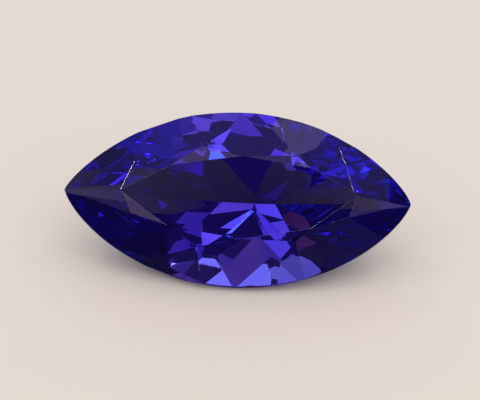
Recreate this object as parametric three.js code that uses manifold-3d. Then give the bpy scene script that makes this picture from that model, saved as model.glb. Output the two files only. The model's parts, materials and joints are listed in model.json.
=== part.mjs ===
// A loose tanzanite cut as a marquise brilliant with a keeled pavilion, in millimetres and degrees.
// The girdle blank is cut facet by facet with its girdle level, then the finished stone is laid
// on its front belly facet, the way such a stone comes to rest on a flat surface.

import * as THREE from "three";
import { mergeVertices } from "three/addons/utils/BufferGeometryUtils.js";
import Module from "manifold-3d";

const wasm = await Module();
wasm.setup();

// Girdle outline: two bellied sides between blunt tips.
const stoneLength = 17.7;
const stoneWidth = 9.24;
const girdleThickness = 0.42;
const tipLift = 0.15;
const sideFullness = 0.75;
const backRightFullness = 0.7;
const sideSteps = 44;

// Heights above and below the girdle.
const crownHeight = 1.13;
const pavilionDepth = 4.35;

// Table corners: along the stone, then across it from the table's own middle line.
const tableEnd = 5.99;
const tableShoulder = [3.53, 1.58];
const tableBelly = [0.1, 2.15];
const tableEndRise = 0.25;
const tableShift = [0.1, -0.27];
const tableTwist = 1.2;

// Stars: the belly stars drop this far below the table, and the tip stars end at these plan points.
const bellyStarDrop = 0.14;
const backTipStar = [5.4, 1.87];
const frontTipStar = [5.45, 0.93];
const tipHalfDip = 0.07;

// Stations around the girdle, in degrees from the right tip, where kites and halves touch it.
const backKites = [54, 85, 125];
const frontKites = [54, 83, 123];
const backHalves = [42, 69, 107, 138];
const frontHalves = [33, 66.5, 101, 146];

// Pavilion: steep mains under the girdle, shallower keel facets below them, and lower halves that
// take up this share of the creases between the mains. The keel is a short ridge along the stone.
const mainStations = [39, 55.5, 90, 120.5, 139.5];
const keelStations = [53.5, 72, 101, 139];
const lowerStations = [17, 48.5, 76, 108, 137.5, 158];
const lowerReach = 0.7;
const keelMiddle = [0.58, 0.34];
const keelHalfLength = 1.42;

// The slope breaks at this share of the way from girdle to keel, and bulges there by these amounts.
const tierBreak = 0.55;
const mainBulge = 0.153;
const keelBulge = 0.165;

const cutterSize = 40;

// A point on the girdle outline: side is 1 at the back and -1 in front.
function girdlePoint(station, side, height) {
  const angle = THREE.MathUtils.degToRad(station);
  const fullness = side === 1 && station < 90 ? backRightFullness : sideFullness;
  const across = Math.pow(Math.sin(angle), 2 * fullness);
  return new THREE.Vector3((stoneLength / 2) * Math.cos(angle), (side * stoneWidth * across) / 2, height);
}

// The level direction that the outline faces at a station between the tips.
function girdleNormal(station, side) {
  const step = 0.01;
  const along = girdlePoint(station + step, side, 0).sub(girdlePoint(station - step, side, 0));
  return new THREE.Vector3(side * along.y, -side * along.x, 0).normalize();
}

// The plane through three corners of a facet, facing away from the stone's middle.
function facetPlane(first, second, third) {
  const plane = new THREE.Plane().setFromCoplanarPoints(first, second, third);
  return plane.constant > 0 ? plane.negate() : plane;
}

// The plane that is level along the outline at a station, through one point of it and a second one
// nearer to the stone's middle.
function slopePlane(station, side, outer, inner) {
  const outward = girdleNormal(station, side);
  const level = new THREE.Vector3(-outward.y, outward.x, 0);
  return facetPlane(outer, outer.clone().add(level), inner);
}

// Where a vertical line through a plan point meets a plane.
function dropOnto(plane, x, y) {
  const height = -(plane.constant + plane.normal.x * x + plane.normal.y * y) / plane.normal.z;
  return new THREE.Vector3(x, y, height);
}

// Where two planes and a level plane at a height meet.
function meetAt(first, second, height) {
  const constants = [first, second].map((plane) => -plane.constant - plane.normal.z * height);
  const across = first.normal.x * second.normal.y - first.normal.y * second.normal.x;
  const x = (constants[0] * second.normal.y - constants[1] * first.normal.y) / across;
  const y = (first.normal.x * constants[1] - second.normal.x * constants[0]) / across;
  return new THREE.Vector3(x, y, height);
}

function toManifold(geometry) {
  const bare = geometry.index ? geometry.toNonIndexed() : geometry.clone();
  bare.deleteAttribute("normal");
  bare.deleteAttribute("uv");
  const merged = mergeVertices(bare, 1e-5);
  return new wasm.Manifold(new wasm.Mesh({
    numProp: 3,
    vertProperties: new Float32Array(merged.attributes.position.array),
    triVerts: new Uint32Array(merged.index.array),
  }));
}

function toGeometry(solid) {
  const mesh = solid.getMesh();
  const geometry = new THREE.BufferGeometry();
  geometry.setAttribute("position", new THREE.BufferAttribute(new Float32Array(mesh.vertProperties), 3));
  geometry.setIndex(new THREE.BufferAttribute(new Uint32Array(mesh.triVerts), 1));
  return geometry;
}

// One facet is ground by taking away everything on the outer side of its plane.
function grind(solid, plane) {
  const lap = new THREE.BoxGeometry(cutterSize, cutterSize, cutterSize);
  lap.translate(0, 0, cutterSize / 2);
  lap.applyQuaternion(new THREE.Quaternion().setFromUnitVectors(new THREE.Vector3(0, 0, 1), plane.normal));
  const foot = plane.normal.clone().multiplyScalar(-plane.constant);
  lap.translate(foot.x, foot.y, foot.z);
  return solid.subtract(toManifold(lap));
}

// The blank: the girdle outline as a straight-sided prism, tall enough for crown and pavilion.
function girdleBlank() {
  const points = [];
  for (const side of [1, -1]) {
    for (let step = 0; step < sideSteps; step += 1) {
      const share = side === 1 ? step / sideSteps : 1 - step / sideSteps;
      const point = girdlePoint(180 * share, side, 0);
      points.push(new THREE.Vector2(point.x, point.y));
    }
  }
  const height = crownHeight + girdleThickness + pavilionDepth;
  const blank = new THREE.ExtrudeGeometry(new THREE.Shape(points), { depth: height + 1, bevelEnabled: false });
  blank.translate(0, 0, -girdleThickness - pavilionDepth - 0.5);
  return toManifold(blank);
}

// Crown facets of one side: stars, kites, split tip facets and upper halves.
function crownSide(side, kiteStations, halfStations, tipStar, hasTipHalves) {
  const [rightKite, bellyKite, leftKite] = kiteStations;
  const onTable = (x, y) => {
    const turned = new THREE.Vector3(x, y, crownHeight);
    turned.applyAxisAngle(new THREE.Vector3(0, 0, 1), THREE.MathUtils.degToRad(tableTwist));
    return turned.add(new THREE.Vector3(tableShift[0], tableShift[1], 0));
  };
  const corner = (x, y) => onTable(x, side * y);
  const ends = [onTable(tableEnd, tableEndRise), onTable(-tableEnd, tableEndRise)];
  const corners = [
    corner(tableShoulder[0], tableShoulder[1]),
    corner(tableBelly[0], tableBelly[1]),
    corner(-tableShoulder[0], tableShoulder[1]),
  ];
  const kites = [rightKite, bellyKite, leftKite].map((station, i) => {
    return slopePlane(station, side, girdlePoint(station, side, 0), corners[i]);
  });
  const tipStars = [corner(tipStar[0], tipStar[1]), corner(-tipStar[0], tipStar[1])];
  const starTips = [
    dropOnto(kites[0], tipStars[0].x, tipStars[0].y),
    meetAt(kites[0], kites[1], crownHeight - bellyStarDrop),
    meetAt(kites[1], kites[2], crownHeight - bellyStarDrop),
    dropOnto(kites[2], tipStars[1].x, tipStars[1].y),
  ];
  const rim = [ends[0], ...corners, ends[1]];
  const tips = [0, 180].map((station) => girdlePoint(station, side, tipLift));
  const tipPlanes = [facetPlane(ends[0], tips[0], starTips[0]), facetPlane(ends[1], tips[1], starTips[3])];
  const touches = kiteStations.map((station) => girdlePoint(station, side, 0));
  const middles = halfStations.map((station) => girdlePoint(station, side, 0));
  middles[0] = dropOnto(tipPlanes[0], middles[0].x, middles[0].y);
  middles[3] = dropOnto(tipPlanes[1], middles[3].x, middles[3].y);
  const planes = [...kites, ...tipPlanes];
  if (hasTipHalves) {
    middles[0].z -= tipHalfDip;
    middles[3].z -= tipHalfDip;
    planes.push(facetPlane(tips[0], middles[0], starTips[0]));
    planes.push(facetPlane(tips[1], middles[3], starTips[3]));
  }
  planes.push(facetPlane(middles[0], touches[0], starTips[0]));
  planes.push(facetPlane(touches[0], middles[1], starTips[1]));
  planes.push(facetPlane(middles[1], touches[1], starTips[1]));
  planes.push(facetPlane(touches[1], middles[2], starTips[2]));
  planes.push(facetPlane(middles[2], touches[2], starTips[2]));
  planes.push(facetPlane(touches[2], middles[3], starTips[3]));
  starTips.forEach((tip, i) => planes.push(facetPlane(rim[i], rim[i + 1], tip)));
  return planes;
}

// The end of the keel that a facet at a station runs down to.
function keelEnd(station) {
  const along = station < 90 ? keelHalfLength : -keelHalfLength;
  return new THREE.Vector3(keelMiddle[0] + along, keelMiddle[1], -girdleThickness - pavilionDepth);
}

// The point under a station where the pavilion's slope breaks.
function breakPoint(station, side, bulge) {
  const rim = girdlePoint(station, side, -girdleThickness);
  return rim.lerp(keelEnd(station), tierBreak).addScaledVector(girdleNormal(station, side), bulge);
}

function mainPlane(station, side) {
  const rim = girdlePoint(station, side, -girdleThickness);
  return slopePlane(station, side, rim, breakPoint(station, side, mainBulge));
}

// Pavilion facets of one side: tip facets that hold the keel's ridge, mains, keel facets, and two
// lower halves between each pair of mains.
function pavilionSide(side) {
  const rim = -girdleThickness;
  const mains = mainStations.map((station) => mainPlane(station, side));
  const keelFacets = keelStations.map((station) => {
    return slopePlane(station, side, breakPoint(station, side, keelBulge), keelEnd(station));
  });
  const middles = lowerStations.map((station) => girdlePoint(station, side, rim));
  const tips = [0, 180].map((station) => facetPlane(
    girdlePoint(station, side, rim),
    station === 0 ? middles[0] : middles[middles.length - 1],
    keelEnd(station),
  ));
  const row = [tips[0], ...mains, tips[1]];
  const touches = [null, ...mainStations.map((station) => girdlePoint(station, side, rim)), null];
  const planes = [...tips, ...mains, ...keelFacets];
  middles.forEach((middle, i) => {
    const top = meetAt(row[i], row[i + 1], rim);
    const foot = meetAt(row[i], row[i + 1], rim - pavilionDepth);
    const crease = top.lerp(foot, lowerReach);
    for (const touch of [touches[i], touches[i + 1]]) {
      if (touch) {
        planes.push(facetPlane(touch, middle, crease));
      }
    }
  });
  return planes;
}

function cutStone() {
  const table = new THREE.Plane(new THREE.Vector3(0, 0, 1), -crownHeight);
  const planes = [
    table,
    ...crownSide(1, backKites, backHalves, backTipStar, false),
    ...crownSide(-1, frontKites, frontHalves, frontTipStar, true),
    ...pavilionSide(1),
    ...pavilionSide(-1),
  ];
  return planes.reduce((stone, plane) => grind(stone, plane), girdleBlank());
}

// The slope of the front belly facet, which lies flat on the ground in the finished part.
const bellyFacet = mainPlane(90, -1);
const bellySlope = Math.atan2(-bellyFacet.normal.y, -bellyFacet.normal.z);

const tanzanite = new THREE.MeshStandardMaterial({ color: 0x2b1a8c, roughness: 0.03, metalness: 0 });
const stone = new THREE.Mesh(toGeometry(cutStone()), tanzanite);
stone.name = "tanzanite";
stone.rotation.x = bellySlope;
const resting = new THREE.Box3().setFromObject(stone, true);
const middle = resting.getCenter(new THREE.Vector3());
stone.position.set(-middle.x, -middle.y, -resting.min.z);

const group = new THREE.Group();
group.add(stone);

export default group;
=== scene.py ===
"""A cut and polished tanzanite, finished and lit on a pale studio floor."""

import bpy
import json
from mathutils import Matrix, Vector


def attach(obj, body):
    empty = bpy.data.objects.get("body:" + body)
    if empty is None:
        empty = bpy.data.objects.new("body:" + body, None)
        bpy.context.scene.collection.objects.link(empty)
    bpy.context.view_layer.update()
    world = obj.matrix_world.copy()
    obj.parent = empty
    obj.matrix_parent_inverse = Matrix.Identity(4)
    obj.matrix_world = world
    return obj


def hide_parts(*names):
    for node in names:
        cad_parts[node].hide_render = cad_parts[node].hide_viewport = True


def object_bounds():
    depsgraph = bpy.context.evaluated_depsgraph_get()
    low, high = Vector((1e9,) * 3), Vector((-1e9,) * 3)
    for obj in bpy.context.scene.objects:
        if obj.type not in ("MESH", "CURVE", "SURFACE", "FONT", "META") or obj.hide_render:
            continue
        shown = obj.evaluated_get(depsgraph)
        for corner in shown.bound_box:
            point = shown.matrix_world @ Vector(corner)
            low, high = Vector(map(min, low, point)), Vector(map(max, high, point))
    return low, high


bl_info = {
    "name": "Marquise Tanzanite",
    "version": (1, 0, 0),
    "blender": (4, 5, 0),
    "location": "3D View > Sidebar > Tanzanite",
    "description": "Finishes a cut tanzanite and sets it on a lit studio floor",
    "category": "Object",
}

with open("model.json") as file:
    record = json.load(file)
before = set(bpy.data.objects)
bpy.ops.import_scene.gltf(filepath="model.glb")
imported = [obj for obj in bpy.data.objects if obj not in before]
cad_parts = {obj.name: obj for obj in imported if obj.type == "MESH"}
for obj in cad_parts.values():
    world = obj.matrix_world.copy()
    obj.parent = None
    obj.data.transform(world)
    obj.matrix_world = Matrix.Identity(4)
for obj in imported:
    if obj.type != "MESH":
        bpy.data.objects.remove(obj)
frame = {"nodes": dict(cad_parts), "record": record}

import json
import math

import bmesh
import bpy
from bpy.props import FloatProperty, FloatVectorProperty, PointerProperty
from mathutils import Matrix, Vector

CAD_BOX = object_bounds()
MILLIMETRE = 0.001

STONE_NODE = "tanzanite"
MOUNTS = {mount["name"]: mount for mount in frame["record"]["mounts"]}
TABLE_AXIS = Vector(MOUNTS["table"]["axis"]).normalized()
STONE_CENTRE = (Vector(CAD_BOX[0]) + Vector(CAD_BOX[1])) / 2

# The photograph's frame, its focal length and the place of the stone's middle in it, in pixels.
PICTURE_WIDTH = 480
PICTURE_HEIGHT = 400
FOCAL_PIXELS = 1059
STONE_PIXEL = (237.8, 198.3)

# The camera's sensor is in Blender's own millimetres. It sees from the nearest to the farthest
# distance, in metres.
SENSOR_WIDTH = 36
NEAREST = 1 * MILLIMETRE
FARTHEST = 10

# A ray of light passes through facets and is mirrored by them at most this often each, and turns at
# most this often in all.
FACET_BOUNCES = 24
ALL_BOUNCES = 32

# The floor lies this far below the stone, and the dark card of painted shade halfway between the two,
# so that no two faces share a plane.
FLOOR_GAP = 0.01 * MILLIMETRE

# In the stone's mesh, points this near each other are one point, and a cut goes through a point that
# is this near to it. Both are in millimetres.
SAME_POINT = 0.0002
ON_THE_CUT = 0.000001

# Triangles that meet at less than the flat turn are one facet, and facets that meet at less than the
# least turn have no junction to see. A rounded junction has a flat at each of these shares of its
# turn.
FLAT_TURN = math.radians(0.25)
LEAST_TURN = math.radians(1)
JUNCTION_FLATS = (0.3, 0.7)

# A face belongs to the girdle if the cosine between its normal and the table's axis is below this.
GIRDLE_LEAN = 0.02

# Where each tint stands between a facet that faces across the crystal's axis, at 0, and one that
# faces along it, at 1, by the square of the cosine.
BLUE_STOP = 0.05
VIOLET_STOP = 0.4
BURGUNDY_STOP = 0.85

# A polishing line is this many times as long as it is wide. The lines are a noise of this detail and
# raggedness, and a facet goes from smoothest to roughest between the noise's low and high level.
LINE_STRETCH = 7
LINE_DETAIL = 2.0
LINE_RAGGEDNESS = 0.6
LINE_LOW = 0.35
LINE_HIGH = 0.75

# The finish of the stage's boards.
BOARD_ROUGHNESS = 0.85
BOARD_SHINE = 0.2


def srgb(code):
    """A colour such as "#8A5CD6" as linear red, green and blue."""
    channels = [int(code[i:i + 2], 16) / 255 for i in (1, 3, 5)]
    return [c / 12.92 if c <= 0.04045 else ((c + 0.055) / 1.055) ** 2.4 for c in channels]


def rgba(colour):
    """An opaque colour, as a colour socket takes it."""
    return (*colour, 1.0)


def add(tree, kind, inputs=None, **settings):
    """Adds a node. An input is a value, or another node's output to link."""
    node = tree.nodes.new(kind)
    for name, value in settings.items():
        setattr(node, name, value)
    for socket, value in (inputs or {}).items():
        if isinstance(value, bpy.types.NodeSocket):
            tree.links.new(value, node.inputs[socket])
        else:
            node.inputs[socket].default_value = value
    return node


def new_material(name):
    """An empty material and its node tree, with only an output in it."""
    material = bpy.data.materials.new(name)
    material.use_nodes = True
    tree = material.node_tree
    tree.nodes.clear()
    return material, tree


class TanzaniteStone(bpy.types.PropertyGroup):
    junction_width: FloatProperty(
        name="Facet junction width",
        description="Width of the soft line that polishing leaves where two facets meet",
        default=0.035 * MILLIMETRE,
        min=0.0,
        unit="LENGTH",
    )
    crystal_turn: FloatProperty(
        name="Crystal turn",
        description="Angle in the table's plane from the stone's length to the crystal's axis",
        default=math.radians(68),
        subtype="ANGLE",
    )
    blue_tint: FloatVectorProperty(
        name="Blue tint",
        description="Tint of the facets that face across the crystal's axis",
        default=srgb("#D9DBFF"),
        subtype="COLOR",
        size=3,
    )
    violet_tint: FloatVectorProperty(
        name="Violet tint",
        description="Tint of the facets that face halfway to the crystal's axis",
        default=srgb("#E9D2FF"),
        subtype="COLOR",
        size=3,
    )
    burgundy_tint: FloatVectorProperty(
        name="Burgundy tint",
        description="Tint of the facets that face along the crystal's axis",
        default=srgb("#F7C3DC"),
        subtype="COLOR",
        size=3,
    )
    body_colour: FloatVectorProperty(
        name="Body colour",
        description="What is left of white light on its way through the crystal",
        default=srgb("#8E5BF5"),
        subtype="COLOR",
        size=3,
    )
    body_density: FloatProperty(
        name="Body density",
        description="How strongly the crystal takes up the other colours, per metre",
        default=240.0,
        min=0.0,
    )
    refraction: FloatProperty(
        name="Refractive index",
        description="Tanzanite bends light at 1.69 to 1.70",
        default=1.695,
        min=1.0,
        max=3.0,
    )
    line_spacing: FloatProperty(
        name="Polishing line spacing",
        description="Distance between the lap's faint lines, drawn coarser than real to show",
        default=0.14 * MILLIMETRE,
        min=0.0001 * MILLIMETRE,
        unit="LENGTH",
    )
    line_depth: FloatProperty(
        name="Polishing line depth",
        description="Depth of the faint lines that the lap leaves",
        default=0.0002 * MILLIMETRE,
        min=0.0,
        unit="LENGTH",
    )
    polish_roughness: FloatProperty(
        name="Polish roughness",
        description="Greatest roughness of a polished facet, along its polishing lines",
        default=0.02,
        min=0.0,
        max=1.0,
    )
    girdle_roughness: FloatProperty(
        name="Girdle roughness",
        description="Roughness of the finely ground girdle",
        default=0.32,
        min=0.0,
        max=1.0,
    )


class TanzaniteStudio(bpy.types.PropertyGroup):
    floor_colour: FloatVectorProperty(
        name="Floor colour",
        description="Colour of the plain floor",
        default=srgb("#DAD0C2"),
        subtype="COLOR",
        size=3,
    )
    # Painted shade: the dark card's colour stands in for the shaded floor that the stone sees beneath
    # it.
    painted_shade_colour: FloatVectorProperty(
        name="Card colour",
        description="Colour of the dark card that shows only in the stone",
        default=srgb("#47423B"),
        subtype="COLOR",
        size=3,
    )
    backdrop_colour: FloatVectorProperty(
        name="Backdrop colour",
        description="Colour of the room behind the floor's far edge",
        default=srgb("#D9D0C4"),
        subtype="COLOR",
        size=3,
    )
    floor_reach: FloatProperty(
        name="Floor reach",
        description="Distance from the stone to the edge of the floor",
        default=0.9,
        unit="LENGTH",
    )
    light_distance: FloatProperty(
        name="Light distance",
        description="Distance from the stone to each light",
        default=0.3,
        unit="LENGTH",
    )
    brightness: FloatProperty(
        name="Brightness",
        description="Factor on the strength of all the lights",
        default=1.0,
        min=0.0,
    )
    room_colour: FloatVectorProperty(
        name="Room colour",
        description="Colour of the room as it shows in the stone",
        default=srgb("#B08FFA"),
        subtype="COLOR",
        size=3,
    )
    room_light: FloatProperty(
        name="Room light",
        description="How bright the room looks in the stone",
        default=0.1,
        min=0.0,
    )
    floor_light: FloatProperty(
        name="Floor light",
        description="How brightly the room lights the floor",
        default=0.85,
        min=0.0,
    )
    view_elevation: FloatProperty(
        name="View elevation",
        description="Angle between the camera's line of sight and the floor",
        default=math.radians(31.9),
        subtype="ANGLE",
    )
    view_roll: FloatProperty(
        name="View roll",
        description="Turn of the camera about its line of sight",
        default=math.radians(2.4),
        subtype="ANGLE",
    )
    view_distance: FloatProperty(
        name="View distance",
        description="Distance from the camera to the middle of the stone",
        default=54.4 * MILLIMETRE,
        unit="LENGTH",
    )


def facet_mesh():
    """The cut stone in millimetres, with each facet as one flat face."""
    mesh = bmesh.new()
    mesh.from_mesh(frame["nodes"][STONE_NODE].data)
    bmesh.ops.scale(mesh, vec=Vector((1, 1, 1)) / MILLIMETRE, verts=mesh.verts)
    bmesh.ops.remove_doubles(mesh, verts=mesh.verts, dist=SAME_POINT)
    bmesh.ops.dissolve_limit(mesh, angle_limit=FLAT_TURN, verts=mesh.verts, edges=mesh.edges)
    mesh.normal_update()
    return mesh


def soften_junctions(mesh, width):
    """Rounds each junction with two narrow flats.

    The stone is convex, so a plane laid on the rounded edge takes only that edge's ridge away.
    """
    cuts = []
    for edge in mesh.edges:
        first, second = (face.normal.copy() for face in edge.link_faces)
        turn = first.angle(second)
        if turn < LEAST_TURN:
            continue
        radius = width / (2 * math.tan(turn / 2))
        ridge = edge.verts[0].co.copy()
        core = ridge - (first + second).normalized() * radius / math.cos(turn / 2)
        for share in JUNCTION_FLATS:
            normal = first.slerp(second, share)
            cuts.append((core + normal * radius, normal))
    for point, normal in cuts:
        cut = bmesh.ops.bisect_plane(
            mesh,
            geom=mesh.verts[:] + mesh.edges[:] + mesh.faces[:],
            dist=ON_THE_CUT,
            plane_co=point,
            plane_no=normal,
            clear_outer=True,
        )
        rim = [part for part in cut["geom_cut"] if isinstance(part, bmesh.types.BMEdge)]
        if len(rim) > 2:
            bmesh.ops.contextual_create(mesh, geom=rim)
    mesh.normal_update()


def mark_faces(mesh, crystal_turn):
    """Writes on each face whether it is ground and how nearly it faces along the crystal's axis.

    Only the girdle is ground. The axis lies in the table's plane.
    """
    ground = mesh.faces.layers.float.new("ground")
    burgundy = mesh.faces.layers.float.new("burgundy")
    crystal_axis = Matrix.Rotation(crystal_turn, 3, TABLE_AXIS) @ Vector((1, 0, 0))
    for face in mesh.faces:
        face[ground] = float(abs(face.normal.dot(TABLE_AXIS)) < GIRDLE_LEAN)
        face[burgundy] = face.normal.dot(crystal_axis) ** 2


class TANZANITE_OT_stone(bpy.types.Operator):
    """Make the cut stone with its facet junctions, ground girdle and clear crystal"""

    bl_idname = "tanzanite.stone"
    bl_label = "Cut Stone"

    def execute(self, context):
        settings = context.scene.tanzanite_stone
        mesh = facet_mesh()
        soften_junctions(mesh, settings.junction_width / MILLIMETRE)
        bmesh.ops.scale(mesh, vec=Vector((1, 1, 1)) * MILLIMETRE, verts=mesh.verts)
        mark_faces(mesh, settings.crystal_turn)
        data = bpy.data.meshes.new("tanzanite_facets")
        mesh.to_mesh(data)
        mesh.free()
        stone = bpy.data.objects.new("tanzanite_facets", data)
        context.scene.collection.objects.link(stone)
        data.materials.append(polished_tanzanite(settings))
        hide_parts(STONE_NODE)
        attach(stone, "root")
        return {"FINISHED"}


def polished_tanzanite(settings):
    """Clear violet-blue zoisite with lapped facets.

    The lap leaves flat mirrors with faint polishing lines. The girdle is left finely ground, so it
    looks paler. A facet has a faint tint of burgundy where it faces along the crystal's axis, and of
    blue or violet where it faces across it.
    """
    material, tree = new_material("polished_tanzanite")
    place = add(tree, "ShaderNodeTexCoord")
    ground = add(tree, "ShaderNodeAttribute", attribute_name="ground")
    burgundy = add(tree, "ShaderNodeAttribute", attribute_name="burgundy")
    tint = add(tree, "ShaderNodeValToRGB", {"Fac": burgundy.outputs["Fac"]})
    stops = tint.color_ramp.elements
    stops[0].position = BLUE_STOP
    stops[0].color = rgba(settings.blue_tint)
    stops[1].position = BURGUNDY_STOP
    stops[1].color = rgba(settings.burgundy_tint)
    violet = stops.new(VIOLET_STOP)
    violet.color = rgba(settings.violet_tint)

    across = 1 / settings.line_spacing
    along = across / LINE_STRETCH
    drawn_out = add(
        tree,
        "ShaderNodeMapping",
        {"Vector": place.outputs["Object"], "Scale": (across, along, along)},
    )
    lines = add(
        tree,
        "ShaderNodeTexNoise",
        {
            "Vector": drawn_out.outputs["Vector"],
            "Scale": 1.0,
            "Detail": LINE_DETAIL,
            "Roughness": LINE_RAGGEDNESS,
        },
    )
    polish = add(
        tree,
        "ShaderNodeMapRange",
        {
            "Value": lines.outputs["Fac"],
            "From Min": LINE_LOW,
            "From Max": LINE_HIGH,
            "To Min": 0.0,
            "To Max": settings.polish_roughness,
        },
    )
    roughness = add(
        tree,
        "ShaderNodeMapRange",
        {
            "Value": ground.outputs["Fac"],
            "To Min": polish.outputs["Result"],
            "To Max": settings.girdle_roughness,
        },
    )
    relief = add(
        tree,
        "ShaderNodeBump",
        {"Height": lines.outputs["Fac"], "Strength": 1.0, "Distance": settings.line_depth},
    )
    surface = add(
        tree,
        "ShaderNodeBsdfPrincipled",
        {
            "Base Color": tint.outputs["Color"],
            "Roughness": roughness.outputs["Result"],
            "Normal": relief.outputs["Normal"],
            "IOR": settings.refraction,
            "Transmission Weight": 1.0,
        },
    )
    volume = add(
        tree,
        "ShaderNodeVolumeAbsorption",
        {"Color": rgba(settings.body_colour), "Density": settings.body_density},
    )
    add(
        tree,
        "ShaderNodeOutputMaterial",
        {"Surface": surface.outputs["BSDF"], "Volume": volume.outputs["Volume"]},
    )
    return material


def matt_painted_board(name, colour):
    """Matt painted board: an even, slightly warm surface with no shine."""
    material, tree = new_material(name)
    surface = add(
        tree,
        "ShaderNodeBsdfPrincipled",
        {
            "Base Color": rgba(colour),
            "Roughness": BOARD_ROUGHNESS,
            "Specular IOR Level": BOARD_SHINE,
        },
    )
    add(tree, "ShaderNodeOutputMaterial", {"Surface": surface.outputs["BSDF"]})
    return material


def towards(azimuth, elevation):
    """The direction from the stone at an azimuth, clockwise from the back, and an elevation."""
    a, e = math.radians(azimuth), math.radians(elevation)
    return Vector((math.sin(a) * math.cos(e), math.cos(a) * math.cos(e), math.sin(e)))


# The lights' colours: a cool window, a patch of clear sky, a warm lamp, and the white, lilac, blue and
# terracotta of what throws light back.
WINDOW = srgb("#CBF6FF")
SKY = srgb("#7DE7FF")
LAMP = srgb("#FFE9E7")
WHITE = srgb("#FFFFFF")
LILAC = srgb("#EDD0FF")
BLUE = srgb("#C8B8FF")
TERRACOTTA = srgb("#FF9A50")

# Soft boxes: name, azimuth clockwise from behind the stone, elevation, width and height in degrees as
# the stone sees them, how bright the face of the box is, and its colour.
SOFT_BOXES = (
    ("front_box", 164, 48, 14, 12, 1.3, WHITE),
    ("front_low_box", 148, 32, 8, 6, 1.2, WHITE),
    ("front_sky", 159, 44, 5, 6, 3.5, SKY),
    ("front_right_box", 130, 60, 26, 22, 0.9, LAMP),
    ("front_left_box", 236, 43, 12, 9, 1.1, WHITE),
    ("front_left_low_box", 232, 29, 11, 9, 0.9, WHITE),
    ("front_left_card", 205, 39, 8, 10, 0.9, LILAC),
    ("front_left_strip", 212, 64, 10, 22, 1.3, LAMP),
    ("front_upper_card", 194, 71, 8, 8, 0.5, LILAC),
    ("front_low_card", 148, 8, 40, 14, 0.1, BLUE),
    ("back_window", 355, 30, 16, 22, 1.1, WINDOW),
    ("back_side_window", 333, 31, 15, 20, 0.7, WINDOW),
    ("back_low_window", 334, 13, 26, 12, 0.8, BLUE),
    ("back_left_window", 316, 42, 12, 14, 0.4, WINDOW),
    ("back_strip", 11, 40, 12, 16, 1.4, WINDOW),
    ("back_low_box", 35, 18, 46, 36, 0.28, BLUE),
    ("back_upper_box", 3, 54, 13, 12, 0.25, LILAC),
    ("back_right_strip", 27, 62, 9, 20, 0.65, LILAC),
    ("left_low_card", 227, 20, 10, 8, 0.3, BLUE),
    ("left_tile", 256, 5, 16, 10, 0.6, TERRACOTTA),
    ("left_upper_box", 307, 70, 48, 24, 0.3, BLUE),
    ("left_box", 292, 44, 34, 32, 0.2, BLUE),
    ("right_low_box", 126, 28, 44, 16, 0.36, LILAC),
    ("right_box", 74, 60, 46, 32, 0.25, BLUE),
    ("right_upper_box", 98, 76, 14, 12, 0.6, WHITE),
    ("overhead_strip", 217, 81, 20, 7, 0.8, LILAC),
    ("overhead_box", 66, 83, 14, 8, 0.5, LILAC),
)

# Small bare bulbs, which glint along the junctions: name, azimuth, elevation and width in degrees, and
# how bright the bulb is.
BULBS = (
    ("right_bulb", 52, 54, 6, 11),
    ("left_bulb", 301, 57, 6, 10),
)


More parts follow.
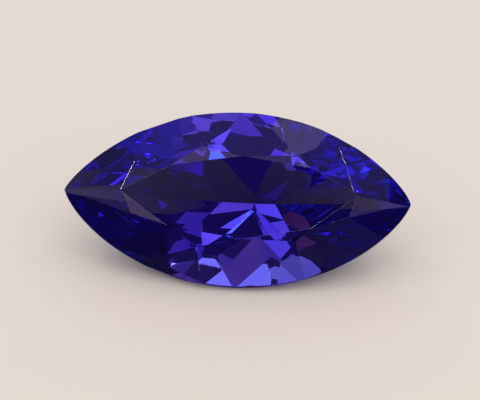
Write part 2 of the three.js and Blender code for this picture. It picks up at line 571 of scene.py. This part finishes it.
class TANZANITE_OT_studio(bpy.types.Operator):
    """Make the floor, the soft boxes and bulbs, the room's light and the camera"""

    bl_idname = "tanzanite.studio"
    bl_label = "Studio"

    def execute(self, context):
        settings = context.scene.tanzanite_studio
        self.make_floor(context, settings)
        for box in SOFT_BOXES:
            self.make_light(context, settings, "RECTANGLE", *box)
        for name, azimuth, elevation, width, level in BULBS:
            bulb = (name, azimuth, elevation, width, width, level, WHITE)
            self.make_light(context, settings, "ELLIPSE", *bulb)
        self.make_room(context, settings)
        self.make_camera(context, settings)
        return {"FINISHED"}

    def make_board(self, context, name, reach, height, material):
        """A square board of the stage, with the stone over its middle."""
        mesh = bmesh.new()
        bmesh.ops.create_grid(mesh, x_segments=1, y_segments=1, size=reach)
        data = bpy.data.meshes.new(name)
        mesh.to_mesh(data)
        mesh.free()
        data.materials.append(material)
        board = bpy.data.objects.new(name, data)
        board.location.z = height
        context.scene.collection.objects.link(board)
        return board

    def make_floor(self, context, settings):
        """A pale floor, and a dark card of painted shade that shows only in the stone.

        The card paints the floor's shade under the stone, and keeps the facets that look straight down
        from filling with the floor's light.
        """
        reach = settings.floor_reach
        pale = matt_painted_board("pale_painted_board", settings.floor_colour)
        floor = self.make_board(context, "studio_floor", reach, -FLOOR_GAP, pale)
        floor.visible_transmission = False
        floor.visible_glossy = False
        # Painted shade: a darker copy of the floor's paint, seen only in and through the stone, stands
        # in for the floor's shade beneath it.
        dark = matt_painted_board("painted_shade_board", settings.painted_shade_colour)
        card = self.make_board(context, "painted_shade_card", reach, -FLOOR_GAP / 2, dark)
        card.visible_camera = False
        card.visible_diffuse = False
        card.visible_shadow = False

    def make_light(
        self, context, settings, shape, name, azimuth, elevation, width, height, level, colour
    ):
        """A flat light that faces the stone and doesn't show to the camera."""
        data = bpy.data.lights.new(name, "AREA")
        data.shape = shape
        data.size = 2 * settings.light_distance * math.tan(math.radians(width / 2))
        data.size_y = 2 * settings.light_distance * math.tan(math.radians(height / 2))
        data.color = colour
        data.energy = settings.brightness * level * math.pi * data.size * data.size_y
        light = bpy.data.objects.new(name, data)
        direction = towards(azimuth, elevation)
        light.location = STONE_CENTRE + direction * settings.light_distance
        light.rotation_euler = direction.to_track_quat("Z", "Y").to_euler()
        light.visible_camera = False
        context.scene.collection.objects.link(light)

    def make_room(self, context, settings):
        """The room is dim in the stone's facets, and bright on the floor and behind it."""
        world = bpy.data.worlds.new("studio_room")
        context.scene.world = world
        world.cycles.sampling_method = "NONE"
        world.use_nodes = True
        tree = world.node_tree
        tree.nodes.clear()
        ray = add(tree, "ShaderNodeLightPath")
        room = add(
            tree,
            "ShaderNodeBackground",
            {"Color": rgba(settings.room_colour), "Strength": settings.room_light},
        )
        wash = add(
            tree,
            "ShaderNodeBackground",
            {"Color": rgba(WHITE), "Strength": settings.floor_light},
        )
        backdrop = add(tree, "ShaderNodeBackground", {"Color": rgba(settings.backdrop_colour)})
        lit = add(
            tree,
            "ShaderNodeMixShader",
            {0: ray.outputs["Is Diffuse Ray"], 1: room.outputs[0], 2: wash.outputs[0]},
        )
        mixed = add(
            tree,
            "ShaderNodeMixShader",
            {0: ray.outputs["Is Camera Ray"], 1: lit.outputs[0], 2: backdrop.outputs[0]},
        )
        add(tree, "ShaderNodeOutputWorld", {"Surface": mixed.outputs[0]})

    def make_camera(self, context, settings):
        """A camera that sees the middle of the stone where the photograph has it."""
        data = bpy.data.cameras.new("camera")
        camera = bpy.data.objects.new("camera", data)
        context.scene.collection.objects.link(camera)
        context.scene.camera = camera
        data.sensor_width = SENSOR_WIDTH
        data.lens = data.sensor_width * FOCAL_PIXELS / PICTURE_WIDTH
        data.clip_start = NEAREST
        data.clip_end = FARTHEST
        back = Matrix.Rotation(-settings.view_elevation, 3, "X") @ Vector((0, -1, 0))
        upright = back.to_track_quat("Z", "Y").to_matrix()
        turned = upright @ Matrix.Rotation(settings.view_roll, 3, "Z")
        pixel = settings.view_distance / FOCAL_PIXELS
        right, up = turned.col[0], turned.col[1]
        aim = STONE_CENTRE
        aim = aim - right * pixel * (STONE_PIXEL[0] - PICTURE_WIDTH / 2)
        aim = aim + up * pixel * (STONE_PIXEL[1] - PICTURE_HEIGHT / 2)
        place = aim + back * settings.view_distance
        camera.matrix_world = Matrix.Translation(place) @ turned.to_4x4()


class TANZANITE_PT_panel(bpy.types.Panel):
    """Lists the stone, the studio and their sizes and colours"""

    bl_label = "Tanzanite"
    bl_idname = "TANZANITE_PT_panel"
    bl_space_type = "VIEW_3D"
    bl_region_type = "UI"
    bl_category = "Tanzanite"

    def draw(self, context):
        for operator, group in (
            (TANZANITE_OT_stone, context.scene.tanzanite_stone),
            (TANZANITE_OT_studio, context.scene.tanzanite_studio),
        ):
            box = self.layout.box()
            box.operator(operator.bl_idname)
            for name in group.__annotations__:
                box.prop(group, name)


CLASSES = (
    TanzaniteStone,
    TanzaniteStudio,
    TANZANITE_OT_stone,
    TANZANITE_OT_studio,
    TANZANITE_PT_panel,
)


def register():
    for cls in CLASSES:
        bpy.utils.register_class(cls)
    bpy.types.Scene.tanzanite_stone = PointerProperty(type=TanzaniteStone)
    bpy.types.Scene.tanzanite_studio = PointerProperty(type=TanzaniteStudio)


def unregister():
    del bpy.types.Scene.tanzanite_studio
    del bpy.types.Scene.tanzanite_stone
    for cls in reversed(CLASSES):
        bpy.utils.unregister_class(cls)


def main():
    register()
    scene = bpy.context.scene
    scene.view_settings.view_transform = "Standard"
    scene.cycles.use_denoising = True
    scene.cycles.max_bounces = ALL_BOUNCES
    scene.cycles.glossy_bounces = FACET_BOUNCES
    scene.cycles.transmission_bounces = FACET_BOUNCES
    bpy.ops.tanzanite.stone()
    bpy.ops.tanzanite.studio()


if __name__ == "__main__":
    main()
